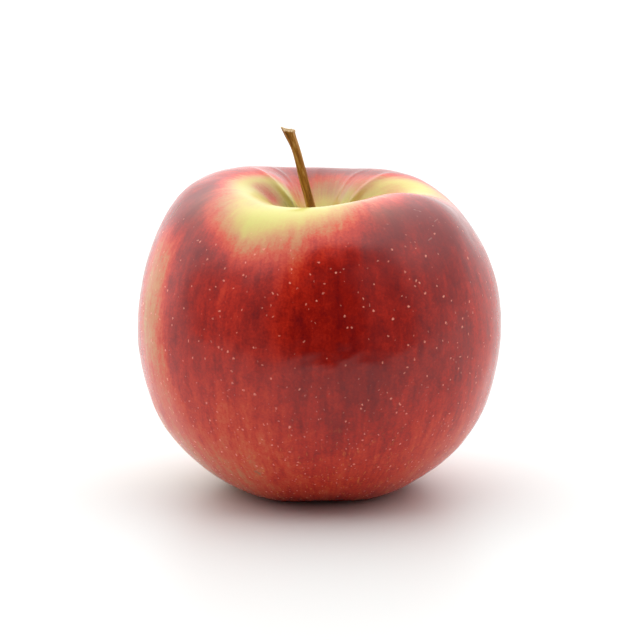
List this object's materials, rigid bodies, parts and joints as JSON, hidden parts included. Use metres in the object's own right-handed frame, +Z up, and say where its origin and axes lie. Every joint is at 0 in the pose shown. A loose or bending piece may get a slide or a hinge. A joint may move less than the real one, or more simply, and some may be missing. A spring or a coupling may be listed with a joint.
{
  "type": "red apple",
  "caption": "Ripe red apple with its woody stem in the stem cavity and the dried calyx in the basin underneath, standing on the lobes round its base.",
  "frame": {"origin": "on the surface that the apple stands on, below the middle of its outline seen from above", "axes": "+Z up along the core, -Y towards the side with the low shoulder, and +X to the right seen from that side"},
  "size_m": [0.0798, 0.0798, 0.0799],
  "materials": {
    "skin": "waxy, softly glossy apple skin, red with streaks over yellow",
    "stem": "dry brown bark with a pale broken end",
    "calyx": "dried, matt brown sepals"
  },
  "bodies": {
    "root": {"fruit": "skin", "stem": "stem", "calyx": "calyx"}
  },
  "joints": []
}
